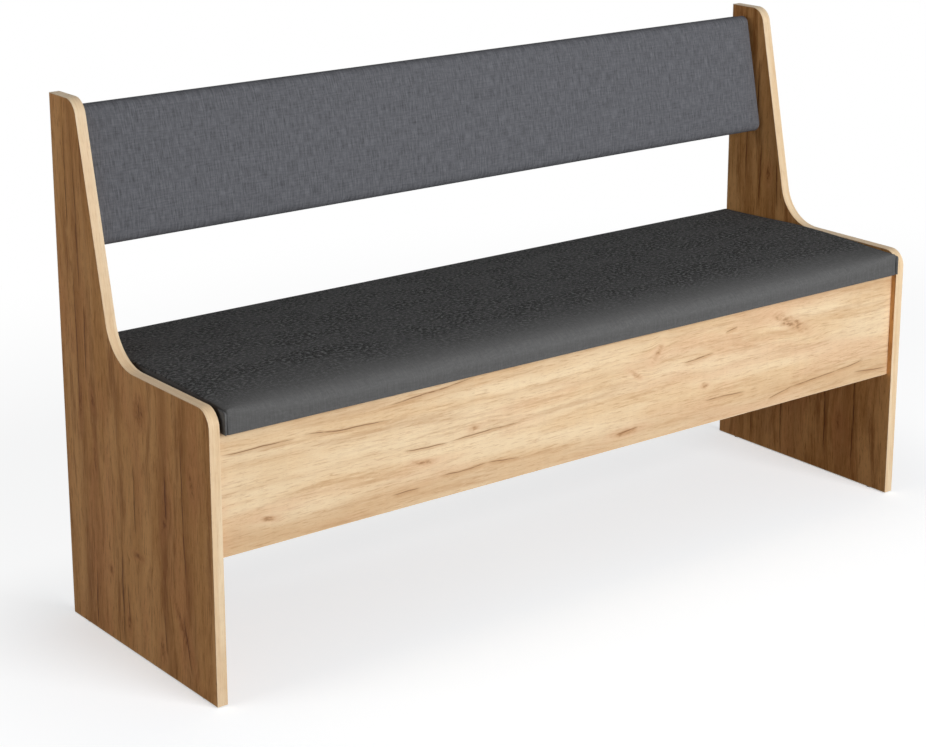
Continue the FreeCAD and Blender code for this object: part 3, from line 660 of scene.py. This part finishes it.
def pad_surface(pad):
    """Points of a closed upholstered pad in its own frame, and its cloth map, both as grids.

    X runs along the pad from its middle, Y across it and Z up from its flat back. Rows are sections that
    stand along X, and each is walked round from the middle of the back: along the back, up one side, which
    is tucked in at its foot as a parabola, round a quarter circle, over the flat top, and down again. At each
    end the last sections turn down and in on a quarter ellipse, and the end face closes by drawing the last
    section together on its middle line. The top is then lifted by a parabola across and lowered by another
    one near the low edge. Both, and the low edge's quarter circle, go over to other sizes at the ends along
    a parabola, and a point lower down moves by the square of its share of the height.
    """
    turn = np.linspace(0, np.pi / 2, 7)
    closing = np.linspace(1, 0, 5)[:-1]  # how far the end face's rings are drawn together
    dying = pad.end_run + (pad.dying_run - pad.end_run) * np.linspace(0, 1, 17)[1:] ** 1.3
    from_end = np.concatenate((0 * closing, pad.end_run * (1 - np.cos(turn)), dying))
    turned_in = np.concatenate((0 * closing + 1, 1 - np.sin(turn), 0 * dying))
    drawn = np.concatenate((closing, 0 * turn, 0 * dying))
    inner = pad.length / 2 - pad.dying_run
    middle = np.linspace(-inner, inner, int(round(2 * inner / SECTION_PITCH)) + 1)[1:-1]
    x = np.concatenate((from_end - pad.length / 2, middle, (pad.length / 2 - from_end)[::-1]))
    turned_in = np.concatenate((turned_in, 0 * middle, turned_in[::-1]))
    drawn = np.concatenate((drawn, 0 * middle, drawn[::-1]))

    def upright(values):
        return values[:, np.newaxis]

    reach = np.minimum(pad.length / 2 - np.abs(x), pad.dying_run) / pad.dying_run
    full = upright(reach * (2 - reach))
    top = upright(pad.thickness - pad.end_drop * turned_in)
    low = upright(pad.corner * turned_in)
    high = pad.width - low
    back = np.sin(np.linspace(0, np.pi / 2, 19))  # gathered towards the foot, so that its edge stays tight
    side, corner, over = (np.linspace(0, 1, steps) for steps in (6, 11, 37))
    quarter = corner * np.pi / 2
    low_r = pad.end_low_radius + (pad.low_radius - pad.end_low_radius) * full
    high_r = pad.high_radius
    centre = pad.width / 2
    walk = [
        (centre + (low + pad.tuck - centre) * back, 0 * top * back),
        (low + pad.tuck * (1 - side) ** 2, (top - low_r) * side),
        (low + low_r * (1 - np.cos(quarter)), top - low_r * (1 - np.sin(quarter))),
        (low + low_r + (high - high_r - low - low_r) * over, top + 0 * over),
        (high - high_r * (1 - np.sin(quarter)), top - high_r * (1 - np.cos(quarter))),
        (high - pad.tuck * side ** 2, (top - high_r) * (1 - side)),
        (centre + (high - pad.tuck - centre) * back[::-1], 0 * top * back),
    ]
    y = np.concatenate([walk[0][0]] + [stretch[0][:, 1:] for stretch in walk[1:]], axis=1)
    z = np.concatenate([walk[0][1]] + [stretch[1][:, 1:] for stretch in walk[1:]], axis=1)

    crown = pad.end_crown + (pad.crown - pad.end_crown) * full
    fall = pad.end_fall + (pad.fall - pad.end_fall) * full
    share = (y - low) / (high - low)
    lift = crown * (1 - (2 * share - 1) ** 2) - fall * np.clip(1 - (y - low) / pad.fall_run, 0, 1) ** 2
    z = z + lift * (z / top) ** 2
    spine = np.clip(y, low + top / 2, high - top / 2)
    y = y + (spine - y) * upright(drawn)
    z = z + (top / 2 - z) * upright(drawn)
    points = np.stack((np.broadcast_to(upright(x), y.shape), y, z), axis=-1)

    # The cloth map: the walk round the middle section, counted from the low foot, and the run along the top
    section = points[len(x) // 2]
    around = np.cumsum(np.linalg.norm(np.diff(section, axis=0, prepend=section[:1]), axis=1))
    around = around - around[len(back) - 1]
    ridge = points[:, points.shape[1] // 2]
    along = np.cumsum(np.linalg.norm(np.diff(ridge, axis=0, prepend=ridge[:1]), axis=1))
    body_map = np.stack(np.broadcast_arrays(upright(along), around), axis=-1)
    end_map = np.stack((np.sign(points[..., 0]) * (pad.thickness - z) + along.mean(), y - pad.width), axis=-1)
    on_end = (drawn[:-1] > 0) | (drawn[1:] > 0)
    return points, body_map, end_map, on_end


def cloth_mesh(name, points, faces, cloth, closed, merge=0.0):
    """Smooth mesh with a cloth map, which is given for each corner of each face.

    A closed mesh has its faces turned outwards, after points that are closer than merge are joined.
    """
    mesh = bpy.data.meshes.new(name)
    mesh.from_pydata(points.reshape(-1, 3).tolist(), [], faces)
    mesh.uv_layers.new(name="cloth").data.foreach_set("uv", cloth.astype(np.float32).ravel())
    if closed:
        work = bmesh.new()
        work.from_mesh(mesh)
        if merge > 0:
            bmesh.ops.remove_doubles(work, verts=work.verts, dist=merge)
        bmesh.ops.recalc_face_normals(work, faces=work.faces)
        work.to_mesh(mesh)
        work.free()
    mesh.polygons.foreach_set("use_smooth", np.ones(len(mesh.polygons), bool))
    return mesh


def pad_mesh(name, pad):
    """Closed mesh of a pad, whose end faces have a cloth map of their own."""
    points, body_map, end_map, on_end = pad_surface(pad)
    rows, columns = points.shape[:2]
    faces = grid_faces(rows, columns)
    at_end = np.repeat(on_end, columns - 1)[:, np.newaxis, np.newaxis]
    cloth = np.where(at_end, end_map.reshape(-1, 2)[faces], body_map.reshape(-1, 2)[faces])
    return cloth_mesh(name, points, faces.tolist(), cloth, True, MERGE_DISTANCE)


def coordinates(mesh):
    flat = np.empty(len(mesh.vertices) * 3, np.float32)
    mesh.vertices.foreach_get("co", flat)
    return flat.reshape(-1, 3).astype(float)


def swell(piece):
    """Blow a pad up as cloth with its back held, and let no point move further than the cap.

    A point's way d becomes cap times tanh(d / cap), so short ways stay and long ones level off.
    """
    start = coordinates(piece.data)
    held = piece.vertex_groups.new(name="held")
    held.add(np.flatnonzero(start[:, 2] < HELD_HEIGHT).tolist(), 1.0, "REPLACE")
    cloth = piece.modifiers.new("swell", "CLOTH")
    settings = cloth.settings
    settings.quality = 6
    settings.mass = 0.3
    settings.tension_stiffness = settings.compression_stiffness = 25.0
    settings.shear_stiffness = 12.0
    settings.bending_stiffness = 2.0
    settings.use_pressure = True
    settings.uniform_pressure_force = 4.0
    settings.vertex_group_mass = held.name
    settings.effector_weights.gravity = 0.0
    scene = bpy.context.scene
    for number in range(1, SWELL_FRAMES + 1):
        scene.frame_set(number)
    shown = piece.evaluated_get(bpy.context.evaluated_depsgraph_get())
    way = coordinates(shown.data) - start
    piece.modifiers.remove(cloth)
    piece.vertex_groups.remove(held)
    scene.frame_set(1)
    length = np.maximum(np.linalg.norm(way, axis=1, keepdims=True), 1e-9)
    return start + way * (SWELL_CAP * np.tanh(length / SWELL_CAP) / length)


def upholstered(name, pad, place, finish, body, replaced):
    """One pad: its surface, swollen by simulation, set at its place and finished by one subdivision."""
    piece = add_object(name, pad_mesh(name, pad))
    piece.data.vertices.foreach_set("co", swell(piece).astype(np.float32).ravel())
    piece.data.transform(place)
    piece.data.materials.append(finish)
    smooth = piece.modifiers.new("smooth", "SUBSURF")
    smooth.levels = smooth.render_levels = 1
    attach(piece, body)
    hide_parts(*replaced)
    return piece


def corner_folds(name, pad, place, face, finish, body):
    """Folded corners of a cover: at each upright corner a doubled strip of cloth lies on the end face.

    The strip's section is half a circle at the fold, which stands out from the end face, and thins out in a
    straight line to its far side, with its inner side sunk into the pad. It is carried up the corner and
    round the pad's upper edge, a quarter circle, and draws back into the pad there, as a quarter circle too.
    """
    bead, middle, wide, sunk = 1.2 * MM, 0.6 * MM, 20.0 * MM, 2.0 * MM
    thin = 0.3 * bead  # how far the strip's far side stands out
    front, foot, shorter = 0.4 * MM, 0.5 * MM, 2.5 * MM  # from the pad's edge, from its back, than its end
    drawing_back = 0.15  # upper share of the strip
    turn = np.linspace(0, np.pi, 9)
    run = np.concatenate((bead * (1 - np.sin(turn)), np.linspace(bead, wide, 8)[1:]))
    rise = np.concatenate((middle - bead * np.cos(turn), np.linspace(middle + bead, thin, 8)[1:]))
    loop_run = np.concatenate((run, np.linspace(wide, bead, 8)))
    loop_out = np.concatenate((rise, np.full(8, -sunk)))
    up = np.linspace(0, 1, 25)[:, np.newaxis]
    full = np.sqrt(1 - (np.clip(up - (1 - drawing_back), 0, drawing_back) / drawing_back) ** 2)
    out = np.where(loop_out > 0, loop_out * full, loop_out)
    ends, edges = (grid.ravel()[:, np.newaxis, np.newaxis] for grid in np.meshgrid((-1, 1), (-1, 1)))
    top = pad.thickness - pad.end_drop - pad.end_fall
    height = foot + (top - shorter) * up
    radius = np.where(edges < 0, pad.end_low_radius, pad.high_radius)
    over = np.clip((height - top) / radius + 1, 0, 1)
    back = front + pad.corner * (1 - full) + radius * (1 - np.sqrt(1 - over ** 2))
    x = ends * (face + out)
    y = pad.width / 2 + edges * (pad.width / 2 - back - loop_run)
    points = np.stack(np.broadcast_arrays(x, y, height), axis=-1)
    strips, rows, columns = points.shape[:3]
    row, column = np.meshgrid(np.arange(rows - 1), np.arange(columns), indexing="ij")
    after = (column + 1) % columns
    quads = np.stack((row * columns + column, row * columns + after, (row + 1) * columns + after,
                      (row + 1) * columns + column), axis=-1).reshape(-1, 4)
    starts = np.arange(strips)[:, np.newaxis] * rows * columns
    loop = starts + np.arange(columns)
    faces = (quads[np.newaxis] + starts[..., np.newaxis]).reshape(-1, 4).tolist()
    faces += loop.tolist() + (loop + (rows - 1) * columns).tolist()
    cloth = points.reshape(-1, 3)[np.concatenate(faces)][:, 1:]
    mesh = cloth_mesh(name, points, faces, cloth, True)
    mesh.transform(place)
    mesh.materials.append(finish)
    piece = add_object(name, mesh)
    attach(piece, body)


def lining_sheet(name, node, size, place, finish, body):
    """Thin lining stretched under a pad: flat, drawn up a little by the staples round its edge.

    With u and v from 0 to 1 along and across, its height is a shallow sag in the middle, as
    u(1 - u) v(1 - v), and small waves that die out from the edges.
    """
    length, width = size
    u, v = np.meshgrid(np.linspace(0, 1, 221), np.linspace(0, 1, 61), indexing="ij")
    edge = np.minimum(np.minimum(u, 1 - u) * length, np.minimum(v, 1 - v) * width)
    flat = np.stack((u * length, v * width), axis=-1)
    waves = np.cos(flat / STAPLE_PITCH * 2 * np.pi).sum(axis=-1)
    sag = 16 * u * (1 - u) * v * (1 - v) * LINING_SAG
    height = -sag - LINING_WAVE * waves * np.exp(-edge / LINING_WAVE_RUN)
    points = np.stack(((u - 0.5) * length, v * width, height - LINING_GAP), axis=-1)
    faces = grid_faces(*u.shape)
    mesh = cloth_mesh(name, points, faces.tolist(), flat.reshape(-1, 2)[faces], False)
    mesh.transform(place)
    mesh.materials.append(finish)
    piece = add_object(name, mesh)
    thick = piece.modifiers.new("cloth", "SOLIDIFY")
    thick.thickness = LINING_THICKNESS
    thick.offset = 0.0
    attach(piece, body)
    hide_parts(node)
    node.split("_")[0] + "_board"


def build_seat():
    """The seat's pad and the folded corners of its cover."""
    low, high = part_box("seat_cover")
    place = Matrix.Translation((0, low.y - SIDE_TUCK, low.z))
    pad = Pad(
        length=high.x - low.x - SWELL_ROOM, width=high.y - low.y + 2 * SIDE_TUCK,
        thickness=high.z - low.z - SWELL_ROOM - SEAT_LOWER, low_radius=19.0 * MM,
        end_low_radius=3.5 * MM, high_radius=9.0 * MM, end_run=5.0 * MM, end_drop=2.0 * MM, corner=3.5 * MM,
        crown=6.5 * MM, end_crown=4.2 * MM, fall=10.0 * MM, end_fall=0.5 * MM, fall_run=85.0 * MM,
        dying_run=200.0 * MM, tuck=SIDE_TUCK,
    )
    # The share 0.28 on the front roll is a painted highlight.
    # The top's tone of 0.83 is painted shade on the seat's top.
    fabric = fabric_finish("seat_fabric", srgb(98, 98, 98), slub=0.5, grain=(0.25, 3.2), tone=(1.0, 0.83),
                           painted_highlight=0.28)
    piece = upholstered("seat_pad", pad, place, fabric, "seat_lid",
                        ("seat_cover", "seat_foam"))
    face = coordinates(piece.data)[:, 0].max()
    corner_folds("seat_corner_folds", pad, place, face, fabric, "seat_lid")


def build_backrest():
    """The backrest's pad, and the place of its back's lower edge, turned to its lean."""
    low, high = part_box("backrest_cover")
    foot = (0, high.y - BACKREST_HEIGHT * math.sin(BACKREST_LEAN), low.z)
    place = Matrix.Translation(foot) @ Matrix.Rotation(math.pi / 2 - BACKREST_LEAN, 4, "X")
    pad = Pad(
        length=high.x - low.x - SWELL_ROOM, width=BACKREST_HEIGHT + 2 * SIDE_TUCK,
        thickness=BACKREST_THICKNESS - SWELL_ROOM - BACKREST_CROWN, low_radius=16.0 * MM,
        end_low_radius=15.0 * MM, high_radius=15.0 * MM, end_run=10.0 * MM, end_drop=10.0 * MM,
        corner=6.0 * MM, crown=BACKREST_CROWN, end_crown=0.4 * MM, fall=0.0, end_fall=0.0, fall_run=1.0,
        dying_run=80.0 * MM, tuck=SIDE_TUCK,
    )
    fabric = fabric_finish("backrest_fabric", srgb(107, 108, 113), slub=1.45, grain=(0.1, 0.1),
                           tone=(1.0, 1.0), painted_highlight=0.0)
    tucked = place @ Matrix.Translation((0, -SIDE_TUCK, 0))
    upholstered("backrest_pad", pad, tucked, fabric, "frame",
                ("backrest_cover", "backrest_foam"))
    return place


def build_upholstery():
    build_seat()
    backrest_place = build_backrest()
    lining = lining_finish()
    low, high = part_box("seat_underside_lining")
    lining_sheet("seat_lining_cloth", "seat_underside_lining", (high.x - low.x, high.y - low.y),
                 Matrix.Translation((0, low.y, high.z)), lining, "seat_lid")
    low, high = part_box("backrest_rear_lining")
    width = (high.z - low.z) / math.cos(BACKREST_LEAN)
    start = Matrix.Translation((0, (BACKREST_HEIGHT - width) / 2, 0))
    lining_sheet("backrest_lining_cloth", "backrest_rear_lining", (high.x - low.x, width),
                 backrest_place @ start, lining, "frame")


# Studio

def visible_ray(tree):
    """1 for what the camera sees, directly or in metal or glass, and 0 for light that falls on things."""
    rays = tree.node("ShaderNodeLightPath", {}).outputs
    seen = tree.math("MAXIMUM", rays["Is Camera Ray"], rays["Is Glossy Ray"])
    return tree.math("MAXIMUM", seen, rays["Is Transmission Ray"])


def build_world():
    world = bpy.data.worlds.new("studio")
    world.use_nodes = True
    world.node_tree.nodes.clear()
    tree = Tree(world.node_tree)
    light = tree.node("ShaderNodeBackground", {"Color": WHITE, "Strength": ROOM_LIGHT})
    white = tree.node("ShaderNodeBackground", {"Color": WHITE, "Strength": 1.0})
    both = tree.node("ShaderNodeMixShader", {0: visible_ray(tree), 1: light.outputs[0], 2: white.outputs[0]})
    tree.node("ShaderNodeOutputWorld", {"Surface": both.outputs[0]})
    bpy.context.scene.world = world


def build_floor():
    """A round pale floor that takes the shadow near the bench, and turns to the white of the room far out."""
    turn = np.linspace(0, 2 * np.pi, 97)[:-1]
    ring = np.stack((np.cos(turn), np.sin(turn), np.zeros_like(turn)), axis=-1) * FLOOR_RADIUS
    mesh = bpy.data.meshes.new("floor")
    mesh.from_pydata(ring.tolist(), [], [list(range(len(ring)))])
    material = bpy.data.materials.new("floor")
    material.use_nodes = True
    material.node_tree.nodes.clear()
    tree = Tree(material.node_tree)
    x, y, _ = tree.split(object_place(tree))
    from_middle = (tree.math("ABSOLUTE", x), tree.math("ABSOLUTE", tree.minus(y, SHADE_MIDDLE_Y)))
    past = [tree.math("MAXIMUM", tree.minus(way, half), 0.0) for way, half in zip(from_middle, SHADE_HALF)]
    distance = tree.math("SQRT", tree.plus(*(tree.times(way, way) for way in past)))
    pale = tree.ease(distance, 0.0, FLOOR_PALE_AT, 0.0, FLOOR_PALE)
    rest = tree.ease(distance, FLOOR_WHITE_FROM, FLOOR_WHITE_AT, 0.0, 1.0 - FLOOR_PALE)
    plain = tree.node("ShaderNodeBsdfDiffuse", {"Color": FLOOR_BOUNCE})
    paint = tree.node("ShaderNodeBsdfDiffuse", {"Color": FLOOR_PAINT})
    glow = tree.node("ShaderNodeEmission", {"Color": WHITE, "Strength": FLOOR_GLOW})
    near = tree.node("ShaderNodeAddShader", {0: paint.outputs[0], 1: glow.outputs[0]})
    white = tree.node("ShaderNodeEmission", {"Color": WHITE, "Strength": 1.0})
    far = tree.plus(pale, rest)
    shown = tree.node("ShaderNodeMixShader", {0: far, 1: near.outputs[0], 2: white.outputs[0]})
    both = tree.node("ShaderNodeMixShader", {0: visible_ray(tree), 1: plain.outputs[0], 2: shown.outputs[0]})
    tree.node("ShaderNodeOutputMaterial", {"Surface": both.outputs[0]})
    mesh.materials.append(material)
    floor = add_object("floor", mesh)


def build_lights():
    for lamp in LAMPS:
        data = bpy.data.lights.new(lamp.name, "AREA")
        data.shape = "RECTANGLE"
        data.size, data.size_y = lamp.size
        data.energy = lamp.watts
        lit = add_object(lamp.name, data)
        lit.location = lamp.place
        x, y, z = np.subtract(lamp.aim, lamp.place)
        lit.rotation_euler = (math.atan2(math.hypot(x, y), -z), 0, math.atan2(-x, y))


def build_camera():
    data = bpy.data.cameras.new("camera")
    data.lens = CAMERA_LENS_MM
    data.shift_y = CAMERA_SHIFT
    data.clip_end = CAMERA_REACH
    camera = add_object("camera", data)
    camera.location = CAMERA_PLACE
    camera.rotation_euler = (math.radians(90 - CAMERA_PITCH), 0, math.radians(-CAMERA_YAW))
    bpy.context.scene.camera = camera


bpy.context.scene.view_settings.view_transform = "Standard"
build_camera()
build_world()
build_floor()
build_lights()
dress_boards_and_fittings()
build_upholstery()
